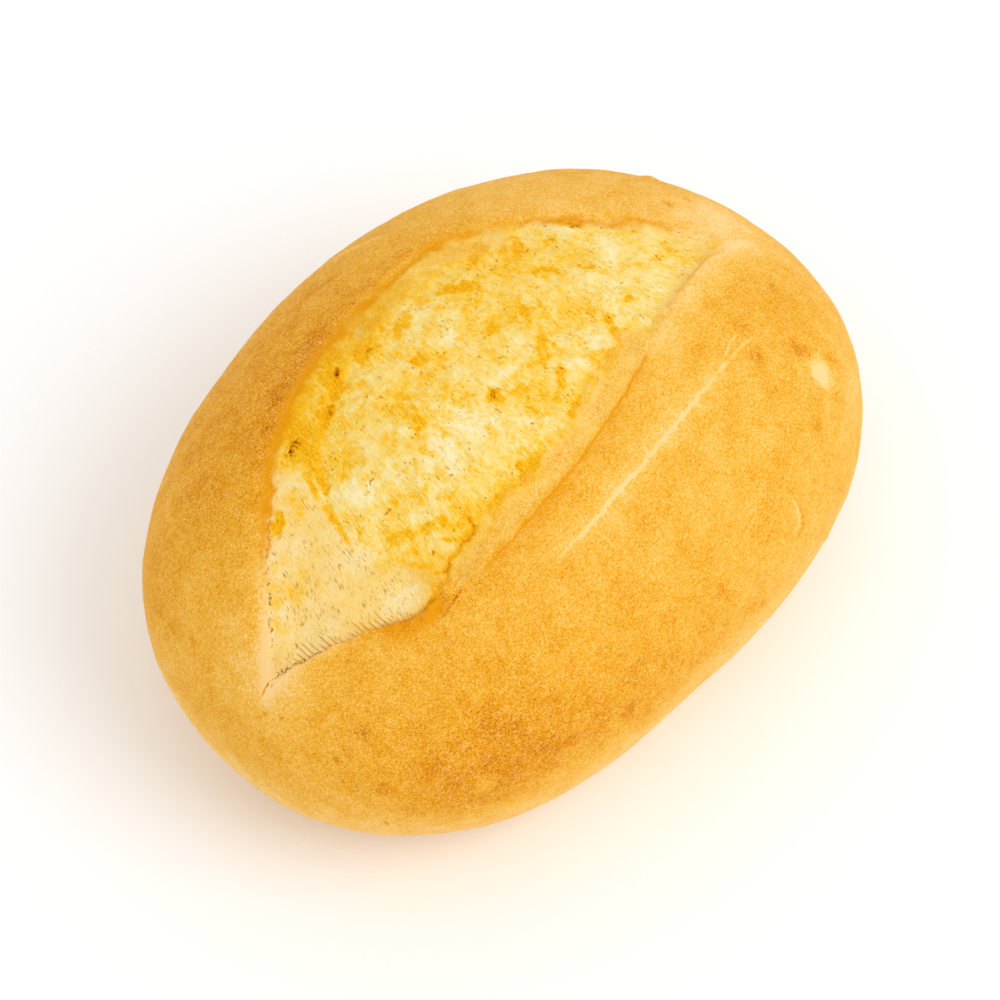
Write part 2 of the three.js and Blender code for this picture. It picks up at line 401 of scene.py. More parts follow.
def oval_radius(angle):
    """Radius of the uneven oval at an angle, on a roll of half length 1."""
    along_x = np.abs(np.cos(angle)) ** OUTLINE_POWER
    along_y = np.abs(np.sin(angle) * LENGTH / WIDTH) ** OUTLINE_POWER
    skew = 1 + SKEW_COS_3 * np.cos(3 * angle) + SKEW_SIN_3 * np.sin(3 * angle)
    skew = skew + SKEW_SIN_4 * np.sin(4 * angle)
    return skew * (along_x + along_y) ** (-1 / OUTLINE_POWER)


def fit_oval():
    """Centre of the oval's bounds, and the scale that brings those to the roll's size."""
    angle = np.linspace(0, 2 * math.pi, 3601)
    points = oval_radius(angle) * np.array([np.cos(angle), np.sin(angle)])
    low, high = points.min(axis=1), points.max(axis=1)
    return (low + high) / 2, np.array([LENGTH, WIDTH]) / (high - low)


OVAL_CENTRE, OVAL_SCALE = fit_oval()


def plan_point(angle, share):
    """Plan position at an angle and at a share of the oval's radius."""
    radius = oval_radius(angle) * share
    x = (radius * np.cos(angle) - OVAL_CENTRE[0]) * OVAL_SCALE[0]
    y = (radius * np.sin(angle) - OVAL_CENTRE[1]) * OVAL_SCALE[1]
    return x, y


def plan_polar(x, y):
    """Angle and share of the oval's radius at a plan position."""
    u = x / OVAL_SCALE[0] + OVAL_CENTRE[0]
    v = y / OVAL_SCALE[1] + OVAL_CENTRE[1]
    angle = np.arctan2(v, u)
    return angle, np.hypot(u, v) / oval_radius(angle)


def dome_height(share):
    rest = np.maximum(0, 1 - np.minimum(share, 1) ** DOME_POWER)
    return WAIST_HEIGHT + (HEIGHT - WAIST_HEIGHT) * rest ** (1 / DOME_POWER)


def settle(z):
    """Rounds the foot of the wall off into the flat base at height 0."""
    soft = (z + FOOT_ROUNDING) ** 2 / (4 * FOOT_ROUNDING)
    return np.where(z <= -FOOT_ROUNDING, 0, np.where(z < FOOT_ROUNDING, soft, z))


# ---- Burst -----------------------------------------------------------------------------------


def tip_line(x):
    """Y of the straight line between the two tips."""
    share = (x - REAR_TIP[0]) / (FRONT_TIP[0] - REAR_TIP[0])
    return REAR_TIP[1] + share * (FRONT_TIP[1] - REAR_TIP[1])


def lip_line(lip, x):
    """Y of a lip at x: it bows out from the line between the tips, and wavers a little."""
    to_rear = x < lip.peak_x
    reach = np.where(to_rear, REAR_TIP[0], FRONT_TIP[0]) - lip.peak_x
    share = np.clip((x - lip.peak_x) / reach, 0, 1)
    power = np.where(to_rear, lip.rear_power, lip.front_power)
    bow = (1 - share ** power) ** lip.fullness
    along = flat(x, 0 * x)
    waver = 0.35 * noise(along, 9.0, 11 + lip.side) + 0.10 * noise(along, 2.2, 15 + lip.side)
    if lip.side < 0:
        ragged = 0.35 * noise(along, 1.7, 17) + 0.18 * noise(along, 0.7, 18)
        waver = waver + 0.5 * bell(x + 27.2, 1.2) - 0.6 * bell(x + 33.5, 4.5)
        waver = waver + ragged * (1 - smooth(x, -30, -26))
    return tip_line(x) + lip.bow * bow + waver * np.minimum(1, 3 * bow)


def lip_slant(lip, x):
    """Cosine of the angle between a lip and the X axis, to turn a Y distance into a true one."""
    step = 0.8
    slope = (lip_line(lip, x + step) - lip_line(lip, x - step)) / (2 * step)
    return 1 / np.sqrt(1 + slope * slope)


def lip_points(lip, count):
    """count + 1 plan points along a lip from the rear tip to the front one, evenly spaced."""
    x = np.linspace(REAR_TIP[0], FRONT_TIP[0], 4001)
    run = np.concatenate([[0], np.cumsum(np.hypot(np.diff(x), np.diff(lip_line(lip, x))))])
    x = np.interp(np.linspace(0, run[-1], count + 1), run, x)
    return x, lip_line(lip, x)


def burst_width(x):
    return lip_line(FAR_LIP, x) - lip_line(NEAR_LIP, x)


def fading(x):
    """1 along the burst and 0 at its tips."""
    return smooth(burst_width(x), 0, TAPER_WIDTH)


def lip_profile(lip, x, gap):
    """Height of the skin against the dome at a distance outside a lip; inside, the gap is negative."""
    if lip.side > 0:
        return fading(x) * far_profile(x, gap)
    return fading(x) * near_profile(x, gap)


def far_profile(x, gap):
    """The far lip is a soft step up to the crust, wide behind and narrow in front."""
    to_front = smooth(x, -12, 4)
    reach_out, reach_in = 3.4 - 2.2 * to_front, 2.2 - 1.3 * to_front
    step = (FAR_SHOULDER - STRIP_LEVEL) * smooth(gap, -reach_in, reach_out)
    return STRIP_LEVEL + step * (0.5 + 0.5 * bell(np.maximum(gap, 0), 7.0))


def near_profile(x, gap):
    """The near lip hangs over the torn valley behind, and is a fold beside the smooth skin in front."""
    outside, inside = np.maximum(gap, 0), np.maximum(-gap, 0)
    rounding = 1 - np.sqrt(1 - np.clip(1 - outside, 0, 1) ** 2)
    hanging_out = HANGING_SHOULDER * (bell(outside, 4.5) - rounding)
    hanging_in = STRIP_LEVEL - HANGING_DROP * np.exp(-inside / 3.0)
    fold = creasing(x) * CREASE_DEPTH
    rise = (CREASE_SHOULDER - STRIP_LEVEL) * bell(inside, 2.6)
    folded_out = CREASE_SHOULDER * bell(outside, 6.0) - fold * np.exp(-outside / 1.1)
    folded_in = STRIP_LEVEL + rise - fold * np.exp(-inside / 0.7)
    folded = hanging_to_folded(x)
    crust_side = hanging_out + (folded_out - hanging_out) * folded
    crumb_side = hanging_in + (folded_in - hanging_in) * folded
    return np.where(gap >= 0, crust_side, crumb_side)


def hanging_to_folded(x):
    """0 where the near lip hangs over, 1 where it is a crease."""
    return smooth(x, HANGING_FROM, HANGING_TO)


def creasing(x):
    """How sharp the near crease is: it starts softly, and is nearly gone for a stretch in front."""
    gone = spanning(x, 13, 19, 30, 34)
    return smooth(x, -25, -17) * (1 - 0.9 * gone) * (1 - 0.4 * smooth(x, 30, 34))


def nearest_gap(x, y, line_x, line_y):
    """Distance from each plan point to the nearest of a line's points, a handful at a time."""
    gap = np.empty(len(x))
    handful = 4000
    for start in range(0, len(x), handful):
        part = slice(start, start + handful)
        gap_x = x[part, None] - line_x[None, :]
        gap_y = y[part, None] - line_y[None, :]
        gap[part] = np.sqrt((gap_x * gap_x + gap_y * gap_y).min(axis=1))
    return gap


# ---- Mesh tools ------------------------------------------------------------------------------


def add_grid(name, columns, rows):
    """Adds a flat grid to shape, and returns it with each corner's column and row."""
    bpy.ops.object.select_all(action="DESELECT")
    bpy.ops.mesh.primitive_grid_add(x_subdivisions=columns, y_subdivisions=rows, size=2)
    piece = bpy.context.object
    piece.name = piece.data.name = name
    place = corners(piece) * MM / 2 + 0.5
    return piece, np.rint(place[:, 0] * columns).astype(int), np.rint(place[:, 1] * rows).astype(int)


def corners(piece):
    """The piece's vertices, in millimetres."""
    numbers = np.empty(len(piece.data.vertices) * 3, np.float32)
    piece.data.vertices.foreach_get("co", numbers)
    return numbers.reshape(-1, 3).astype(float) / MM


def place_corners(piece, points):
    piece.data.vertices.foreach_set("co", (points * MM).astype(np.float32).ravel())
    piece.data.update()


def corner_normals(piece):
    numbers = np.empty(len(piece.data.vertices) * 3, np.float32)
    piece.data.vertex_normals.foreach_get("vector", numbers)
    return numbers.reshape(-1, 3).astype(float)


def keep_numbers(piece, **fields):
    """Keeps a number for each vertex under each name, for the finishes to read."""
    for name, values in fields.items():
        layer = piece.data.attributes.new(name, "FLOAT", "POINT")
        layer.data.foreach_set("value", np.asarray(values, np.float32))


def numbers_of(piece, name):
    values = np.empty(len(piece.data.vertices), np.float32)
    piece.data.attributes[name].data.foreach_get("value", values)
    return values.astype(float)


def weld_and_pick_rim():
    """Merges the new piece's corners that meet, and leaves its open rim selected in edit mode."""
    bpy.ops.object.mode_set(mode="EDIT")
    bpy.ops.mesh.select_all(action="SELECT")
    bpy.ops.mesh.remove_doubles(threshold=WELD_REACH * MM)
    bpy.ops.mesh.select_all(action="DESELECT")
    bpy.ops.mesh.select_non_manifold(extend=False)


def close_rim(piece):
    """Fills the selected rim and points all faces outwards."""
    bpy.ops.mesh.edge_face_add()
    bpy.ops.mesh.select_all(action="SELECT")
    bpy.ops.mesh.normals_make_consistent(inside=False)
    bpy.ops.object.mode_set(mode="OBJECT")
    piece.data.shade_smooth()


# ---- Crust -----------------------------------------------------------------------------------


def crust_columns():
    """For each column of the crust: its lip point, whether that is the far lip, its waist angle."""
    near_x, near_y = lip_points(NEAR_LIP, COLUMNS_NEAR)
    far_x, far_y = lip_points(FAR_LIP, COLUMNS_FAR)
    x = np.concatenate([near_x, far_x[::-1][1:]])
    y = np.concatenate([near_y, far_y[::-1][1:]])
    is_far = np.arange(len(x)) > COLUMNS_NEAR
    rear = plan_polar(*REAR_TIP)[0]
    front = plan_polar(*FRONT_TIP)[0]
    waist = np.concatenate([
        np.linspace(rear, front, COLUMNS_NEAR + 1),
        np.linspace(front, rear + 2 * math.pi, COLUMNS_FAR + 1)[1:],
    ])
    return x, y, is_far, waist


def lip_tuck(x, far_side):
    """How far the crust's last ring reaches under the crumb, and how deep it lies there."""
    hanging = (1 - hanging_to_folded(x)) * ~far_side
    reach = TUCK_REACH + (HANGING_TUCK_REACH - TUCK_REACH) * hanging
    depth = TUCK_DEPTH + (HANGING_TUCK_DEPTH - TUCK_DEPTH) * hanging
    return reach, depth


def crust_profile(x, gap, far_side):
    return np.where(far_side, lip_profile(FAR_LIP, x, gap), lip_profile(NEAR_LIP, x, gap))


def pocket_form(x, y, far_side, ring):
    """The pocket's rings: on its floor, half-way up, below the lip and just under the crumb."""
    underlap, sink = lip_tuck(x, far_side)
    last = ring == POCKET_RINGS - 1
    inset = np.where(ring == 0, POCKET_INSET, np.where(last, underlap, 2.5 * underlap))
    inset = np.minimum(inset, POCKET_SHARE * burst_width(x))
    pocket_y = y - np.where(far_side, 1, -1) * inset
    rim_z = dome_height(plan_polar(x, pocket_y)[1]) + crust_profile(x, -inset - 0.001, far_side)
    rim_z = rim_z - sink - np.where(last, 0, POCKET_STEP)
    pocket_z = np.select([ring == 0, ring == 1], [POCKET_FLOOR, (POCKET_FLOOR + rim_z) / 2], rim_z)
    return (x, pocket_y, pocket_z), inset


def dome_plan(x, y, waist_angle, dome_ring):
    """Plan position of the dome's rings, from a lip to the waist, and their share of the radius."""
    start_angle, start_share = plan_polar(x, y)
    turn_by = np.arctan2(np.sin(waist_angle - start_angle), np.cos(waist_angle - start_angle))
    start_turn = np.arccos(np.clip(start_share, 0, 1) ** (DOME_POWER / 2))
    down = np.clip(dome_ring / DOME_RINGS, 0, 1) ** LIP_CROWDING
    share = np.cos(start_turn * (1 - down)) ** (2 / DOME_POWER)
    dome_x, dome_y = plan_point(start_angle + turn_by * smooth(down, 0, 1), share)
    return dome_x, dome_y, share


def wall_form(waist_angle, wall_ring):
    """The wall's rings, from the waist to the foot, and then the base's."""
    foot_turn = math.asin(((WAIST_HEIGHT + FOOT_ROUNDING) / FOOT_DEPTH) ** (WALL_POWER / 2))
    foot_share = math.cos(foot_turn) ** (2 / WALL_POWER)
    turn = foot_turn * np.clip(wall_ring / WALL_RINGS, 0, 1)
    inward = np.clip((wall_ring - WALL_RINGS) / BASE_RINGS, 0, 1)
    share = np.where(inward > 0, foot_share * (1 - inward), np.cos(turn) ** (2 / WALL_POWER))
    x, y = plan_point(waist_angle, share)
    return x, y, settle(WAIST_HEIGHT - FOOT_DEPTH * np.sin(turn) ** (2 / WALL_POWER))


def make_crust():
    rings = POCKET_RINGS + DOME_RINGS + WALL_RINGS + BASE_RINGS
    piece, column, ring = add_grid("crust", COLUMNS_NEAR + COLUMNS_FAR, rings)
    lip_x, lip_y, is_far, waist = crust_columns()
    x, y, far_side, waist_angle = lip_x[column], lip_y[column], is_far[column], waist[column]
    dome_ring = ring - POCKET_RINGS
    wall_ring = dome_ring - DOME_RINGS

    pocket, inset = pocket_form(x, y, far_side, ring)
    dome_x, dome_y, share = dome_plan(x, y, waist_angle, dome_ring)
    gap = nearest_gap(dome_x, dome_y, lip_x, lip_y)
    dome = (dome_x, dome_y, dome_height(share) + crust_profile(x, gap, far_side))
    wall = wall_form(waist_angle, wall_ring)
    in_pocket = ring < POCKET_RINGS
    regions = [in_pocket, wall_ring > 0]
    points = [np.select(regions, [low, side], top) for low, side, top in zip(pocket, wall, dome)]
    place_corners(piece, np.stack(points, axis=1))
    lip_gap = np.where(in_pocket, -inset, gap)
    keep_numbers(piece, lip_gap=lip_gap, far_side=far_side, in_pocket=in_pocket)
    weld_and_pick_rim()
    close_rim(piece)
    shape_crust_skin(piece)
    return piece


def shape_crust_skin(piece):
    """Raises and dents the skin, and keeps how strongly each place is baked, with painted shade on the
    far side.
    """
    points, normals = corners(piece), corner_normals(piece)
    gap = numbers_of(piece, "lip_gap")
    on_base = smooth(-normals[:, 2], 0.8, 0.97)
    free = (1 - on_base) * (1 - numbers_of(piece, "in_pocket"))
    lift = 0.25 * layers(points, 15.0, 2, 21) + 0.05 * layers(points, 2.5, 2, 25)
    lift *= smooth(gap, 0, 3)
    far_side = numbers_of(piece, "far_side") > 0.5
    bake = crust_bake(points) + 0.35 * on_base + lip_browning(points[:, 0], gap, far_side)
    rag = 1 + 0.30 * noise(points, 1.1, 37) + 0.20 * noise(points, 0.5, 38)
    for spot in SPOTS:
        away = np.linalg.norm(points - spot.centre, axis=1)
        ring = bell(away - 1.9 * spot.reach, 0.5 * spot.reach)
        lift += spot.height * bell(away, spot.reach) + spot.rim * ring
        bake += spot.bake * (1 - smooth(away * rag / spot.reach, 0.2, 1.4)) + 0.8 * spot.rim * ring
    place_corners(piece, points + normals * (lift * free)[:, None])
    glow = np.where(far_side, far_glow_and_lip_shade(points, gap), near_glow(points, gap))
    keep_numbers(piece, bake=bake, glow=glow)


def crust_bake(points):
    """How strongly the crust is baked, from 0, pale, to 1, dark brown; on the far side this includes
    painted shade.
    """
    bake = 0.46 + 0.04 * layers(points, 16.0, 2, 31) + 0.03 * layers(points, 4.0, 2, 35)
    bake -= 0.32 * smooth(27 - points[:, 2], 0, 12)
    for cloud in CLOUDS:
        bake += cloud.bake * bell(np.linalg.norm(points - cloud.centre, axis=1), cloud.reach)
    return bake


def lip_browning(x, gap, far_side):
    """Extra baking of the crust beside the burst: a brown band far, a warm one near, pale behind."""
    brown = 0.20 * smooth(x, -32, -26) - 0.10 * smooth(x, -12, -6) - 0.10 * smooth(x, 10, 18)
    warm = (0.10 - 0.38 * smooth(x, 14, 21)) * bell(gap, 2.2)
    warm = warm + 0.4 * scorching(x) * bell(gap - 0.5, 1.3)
    beside = np.where(far_side, brown * bell(gap - 1.8, 1.9), warm)
    return beside - 0.38 * (1 - smooth(x, -42, -37)) * bell(gap, 1.1)


def scorching(x):
    """1 where the near lip's rim caught the heat."""
    return spanning(x, -37, -34.5, -28.5, -26)


def far_glow_and_lip_shade(points, gap):
    """The orange seam along the far lip: ragged behind, and shifted inwards in front, where it is partly
    orange crust and partly painted shade under the overhanging lip.
    """
    x = points[:, 0]
    plan = flat(x, points[:, 1])
    ragged = gap + 0.5 * noise(plan, 3.4, 101) + 0.35 * noise(plan, 1.2, 102)
    ragged = ragged + 0.2 * noise(plan, 0.5, 104)
    # From x 22 to 36 the band moves inwards: there it is painted shade under the overhanging lip as well
    # as orange crust
    middle = 0.1 * (1 - smooth(x, -12, -4)) - 0.3 - 0.8 * spanning(x, 22, 27, 31, 36)
    reach = 0.9 - 0.30 * smooth(x, -10, 0) + 0.2 * smooth(x, 22, 27)
    strong = 1.15 - 0.15 * smooth(x, -10, 14)
    ends = spanning(x, -42, -34, 35, 39) * (1 - 0.6 * bell(x - 19, 3))
    return bell(ragged - middle, reach) * strong * ends * (1 + 0.35 * noise(plan, 2.2, 103))


def near_glow(points, gap):
    """The orange line in the near crease, the warm band outside it, and the scorched rim behind."""
    x = points[:, 0]
    plan = flat(x, points[:, 1])
    blot = 0.6 * noise(plan, 3.2, 111) + 0.4 * noise(plan, 1.1, 112)
    shift = 0.10 * noise(plan, 0.9, 115) + 0.8 * spanning(x, 22, 28, 36, 40)
    line = bell(gap + shift, 0.20) * (1.4 + 0.4 * blot)
    warm = (gap > 0) * 0.40 * np.exp(-np.maximum(gap, 0) / 1.1) * (1 + 0.6 * blot)
    creased = creasing(x) * (1 - smooth(x, 38, 42)) * np.maximum(line, warm * (1 - smooth(x, 14, 20)))
    ragged = gap + 0.6 * noise(plan, 1.4, 113) + 0.4 * noise(plan, 0.6, 114)
    rim = bell(ragged - 0.8, 1.3) * (1.05 + 0.8 * blot)
    return np.maximum(creased, scorching(x) * (gap > -0.8) * rim)


# ---- Torn crumb ------------------------------------------------------------------------------


def core_gap(x, y, from_near, from_far):
    """Distance inside the edge of the rough core, negative on the smooth skin round it."""
    gaps = []
    for lip, distance in ((NEAR_LIP, from_near), (FAR_LIP, from_far)):
        start, end = lip.strip_ends
        gaps.append(distance - lip.strip * spanning(x, start - 3, start + 6, end - 3, end + 3))
    gaps.append(x - CORE_REAR - CORE_ROUND * (y - CORE_MIDDLE) ** 2)
    return np.minimum.reduce(gaps)


def fibre_place(x, y):
    """Points for noise that follows the fibres: across them, then along them."""
    across = x / (1 + FIBRE_FAN * (FIBRE_ROOT - y))
    wander = 0.8 * noise(flat(x, y), 9.0, 51) + 0.08 * noise(flat(x, y), 2.5, 52)
    return flat(across + wander, y)


class TornSurface:
    """The corners of the torn surface: how they lie to the lips and the core, and how lumpy it is."""

    def __init__(self, x, y, from_near, from_far):
        self.x, self.y = x, y
        self.from_near, self.from_far = from_near, from_far
        self.inside = np.minimum(from_near, from_far)
        self.width = np.maximum(from_near + from_far, 0.1)
        self.near_half = smooth(from_far - from_near, -2, 2)
        self.far_half = 1 - self.near_half
        self.plan, self.fibre = flat(x, y), fibre_place(x, y)
        self.edge = core_gap(x, y, from_near, from_far)
        rag = 0.9 * self.noise(4.0, 41) + 0.45 * self.noise(1.3, 42) + 0.2 * self.noise(0.5, 43)
        self.gap = self.edge + rag
        self.core = smooth(self.gap, -0.3, 1.0)
        self.from_split = self.split_gap()
        self.lumps = 0.32 * layers(self.plan, 7.0, 2, 61) + 0.26 * (self.crests((2.6, 6.0, 1), 63) - 0.4)
        self.strands = 0.14 * (self.crests((0.9, 3.2, 1), 65) - 0.4)
        self.strands = self.strands + 0.08 * self.crests((0.42, 1.6, 1), 67)

    def noise(self, grain, seed):
        return noise(self.plan, grain, seed)

    def crests(self, grain, seed):
        """Crests along the fibres."""
        return ridges(self.fibre, grain, seed)

    def split_gap(self):
        """Distance from the split, made ragged."""
        ragged_x = self.x + 0.5 * self.noise(1.5, 45) + 0.25 * self.noise(0.5, 46)
        ragged_y = self.y + 0.8 * self.noise(1.2, 47)
        return nearest_gap(ragged_x, ragged_y, *split_points())


def torn_relief(torn):
    """Height of the torn surface against the dome."""
    fade = fading(torn.x)
    level = fade * STRIP_LEVEL
    middle = np.clip(4 * torn.from_near * torn.from_far / torn.width ** 2, 0, 1)
    sunken = VALLEY_DEPTH * smooth(-torn.x, 12, 34) * middle
    sunken = sunken + CORE_DEPTH * torn.core * smooth(torn.inside, 0, 2)
    relief = level - fade * sunken
    for lip, distance in ((NEAR_LIP, torn.from_near), (FAR_LIP, torn.from_far)):
        relief += lip_profile(lip, torn.x, -np.maximum(distance, 0.001)) - level
        relief -= 0.2 * np.maximum(-distance, 0)
    combed = 0.02 * torn.crests((0.5, 3.0, 1), 69) + 0.08 * torn.noise(3.0, 70)
    rough = torn.core * (torn.lumps + torn.strands) + (1 - torn.core) * combed
    relief += smooth(torn.inside, 0.1, 1.6) * rough
    return relief - SPLIT_DEPTH * bell(torn.from_split, 0.3) * smooth(torn.inside, 0, 0.6)


def torn_toast(torn):
    """How much heat the crumb caught, from 0, white, to 1, dark brown."""
    x, core = torn.x, torn.core
    # Paler on the crests and yellower in the hollows between them, following the crumb's relief
    toast = 0.32 + 0.09 * layers(torn.plan, 2.8, 3, 81) - core * (0.26 * torn.lumps + 0.3 * torn.strands)
    toast -= 0.07 * (1 - core) * smooth(-x, 26, 31) + 0.10 * smooth(x, 14, 26)
    toast += core_rim_toast(torn) + far_strip_toast(torn)
    toast += 0.2 * bell(torn.from_split, 0.35) + 0.18 * bell(torn.from_split, 1.3)
    broken = 0.85 + 0.5 * torn.noise(0.9, 88)
    for gain, marks in ((TOASTED_GAIN, TOASTED), (-PALE_LOSS, PALE)):
        for mark in marks:
            toast += gain * mark.strength * patch(mark, x, torn.y) * broken
    return np.clip(toast, 0.08 + 0.05 * torn.noise(0.6, 98), 0.70 + 0.06 * torn.noise(0.6, 96))


def core_rim_toast(torn):
    """Toasting in patches along the core's rim, stronger on the near side and at the far rear."""
    patchy = smooth(torn.noise(3.0, 87) + 0.5 * torn.noise(1.2, 86), -0.5, 0.5)
    rim = torn.far_half * (0.3 + 0.7 * spanning(torn.x, -31, -26, -8, 2)) + 0.8 * torn.near_half
    return 0.18 * bell(torn.gap - 0.6, 1.0) * rim * patchy * (1 - smooth(torn.x, 18, 22))


def far_strip_toast(torn):
    """Toasting of the strip inside the far lip, golden behind and less so in front."""
    strip = (1 - torn.core) * torn.far_half * (1 - smooth(torn.from_far, 6, 8))
    golden = 0.21 * smooth(torn.x, -31, -25) - 0.08 * smooth(torn.x, -2, 8)
    return strip * (golden + 0.12 * torn.noise(1.6, 84) + 0.08 * torn.noise(0.6, 85))


def torn_burns(torn):
    """How thickly the burnt specks lie."""
    burnt = sum(mark.strength * patch(mark, torn.x, torn.y) for mark in BURNT)
    return burnt + 0.45 * bell(torn.from_split, 0.3) * smooth(torn.noise(1.6, 97), -0.4, 0.3)


def torn_skin(torn):
    """1 where the torn surface is baked skin: along the lips, on the strips and at both tips."""
    x, rough = torn.x, 0.5 * torn.noise(1.2, 95)
    soft_far, soft_near = 0.9 + 2.6 * smooth(x, 18, 32), 0.4 + 2.6 * smooth(x, 13, 21)
    near_strip = smooth(x, -30, -25) * torn.near_half * (0.85 + 0.2 * torn.noise(3.0, 90))
    far_strip = smooth(x, -14, -8) * torn.far_half * (0.4 + 0.2 * torn.noise(3.0, 90))
    return np.maximum.reduce([
        1 - smooth(torn.from_far + rough * smooth(x, 16, 22), -0.2, soft_far),
        1 - smooth(torn.from_near + rough * smooth(x, 13, 18), -0.1, soft_near),
        (1 - smooth(torn.gap, -1.8, 1.2)) * (near_strip + far_strip),
        smooth(x + 2.5 * torn.noise(2.5, 89), 35, 43),
        0.8 * (1 - smooth(x + 2.0 * torn.noise(1.5, 93), -49, -45)),
    ])


def torn_bake(torn, points):
    """How strongly that skin is baked: at the lips like the crust beside it, painted shade on the far
    side included, inside as a strip.
    """
    on_far_side = torn.from_far < torn.from_near
    at_lips = crust_bake(points) + lip_browning(torn.x, np.maximum(-torn.inside, 0), on_far_side)
    on_strips = torn.near_half * (0.32 + 0.22 * (1 - smooth(torn.x, -25, -14)))
    on_strips += torn.far_half * (0.60 - 0.42 * smooth(torn.x, -2, 5))
    return at_lips + (on_strips - at_lips) * smooth(torn.inside, 0, 1.5)


def torn_numbers(torn, points):
    """The numbers that the torn surface's finish reads."""
    x = torn.x
    return {
        "toast": torn_toast(torn),
        "burnt": torn_burns(torn),
        "skin": torn_skin(torn),
        "bake": torn_bake(torn, points),
        "glow": np.maximum(near_glow(points, -torn.from_near), far_glow_and_lip_shade(points, -torn.from_far)),
        "edge": torn.edge,
        "folding": bell(torn.edge - 0.9, 1.9) * smooth(-x, 20, 25) * smooth(torn.from_near, 3, 7),
        "stretched": (1 - torn.core) * smooth(-x, 26, 31),
        "comb": spanning(-x, 30, 34, 44, 47),
        "torn": np.maximum(torn.core, 0.8 * smooth(-x, 27, 31) * bell(torn.from_far - 0.8, 1.6)),
        "splitting": smooth(-x, 40.5, 42.5) * smooth(torn.width, 0.5, 1.5),
        "from_near": torn.from_near,
        "from_far": torn.from_far,
        "fibre_x": torn.fibre[:, 0],
        "fibre_y": torn.fibre[:, 1],
    }


def split_points():
    """Plan points along the split, closely spaced."""
    x, y = np.array(SPLIT).T
    place = np.linspace(0, len(x) - 1, 120)
    return np.interp(place, np.arange(len(x)), x), np.interp(place, np.arange(len(x)), y)


def patch(mark, x, y):
    """1 in the middle of a mark and 0 outside it, with a ragged rim."""
    turn = math.radians(mark.turn)
    away_x, away_y = x - mark.x, y - mark.y
    along = (away_x * math.cos(turn) + away_y * math.sin(turn)) / mark.length
    across = (away_y * math.cos(turn) - away_x * math.sin(turn)) / mark.width
    rim = 0.40 * noise(flat(x, y), 1.1, 91) + 0.25 * noise(flat(x, y), 0.4, 92)
    return smooth(np.hypot(along, across) + rim, 1.3, 0.3)


def make_crumb():
    piece, column, row = add_grid("torn_crumb", CRUMB_COLUMNS, CRUMB_ROWS)
    x = REAR_TIP[0] + (FRONT_TIP[0] - REAR_TIP[0]) * column / CRUMB_COLUMNS
    near, far = lip_line(NEAR_LIP, x), lip_line(FAR_LIP, x)
    start, end = near - NEAR_LIP.overlap, far + FAR_LIP.overlap * fading(x)
    y = start + (end - start) * row / CRUMB_ROWS
    torn = TornSurface(x, y, (y - near) * lip_slant(NEAR_LIP, x), (far - y) * lip_slant(FAR_LIP, x))
    points = np.stack([x, y, dome_height(plan_polar(x, y)[1]) + torn_relief(torn)], axis=1)
    place_corners(piece, points)
    keep_numbers(piece, **torn_numbers(torn, points))
    weld_and_pick_rim()
    bpy.ops.mesh.extrude_region_move()
    bpy.ops.transform.resize(value=(1, 1, 0), center_override=(0, 0, CRUMB_FLOOR * MM))
    close_rim(piece)
    return piece


# ---- Finishes --------------------------------------------------------------------------------


class Field:
    """A value that varies over a surface; sums on it become Math nodes."""

    def __init__(self, finish, socket):
        self.finish = finish
        self.socket = socket

    def math(self, operation, *values, clamp=False):
        settings = {"operation": operation, "use_clamp": clamp}
        return self.finish.node("ShaderNodeMath", settings, dict(enumerate(values)))

    def __add__(self, other):
        return self.math("ADD", self, other)

    def __sub__(self, other):
        return self.math("SUBTRACT", self, other)

    def __rsub__(self, other):
        return self.math("SUBTRACT", other, self)

    def __mul__(self, other):
        return self.math("MULTIPLY", self, other)

    def __truediv__(self, other):
        return self.math("DIVIDE", self, other)

    def __abs__(self):
        return self.math("ABSOLUTE", self)

    def clamped(self):
        return self.math("ADD", self, 0.0, clamp=True)

    def between(self, start, end):
        """0 up to start, 1 from end on, and an S-curve between them."""
        settings = {"interpolation_type": "SMOOTHSTEP"}
        sockets = {"Value": self, "From Min": start, "From Max": end}
        return self.finish.node("ShaderNodeMapRange", settings, sockets)

    def line(self, middle, width):
        """1 where the value is middle, falling to 0 at width from it."""
        return (1.0 - abs(self - middle) / width).clamped()

    __radd__ = __add__
    __rmul__ = __mul__


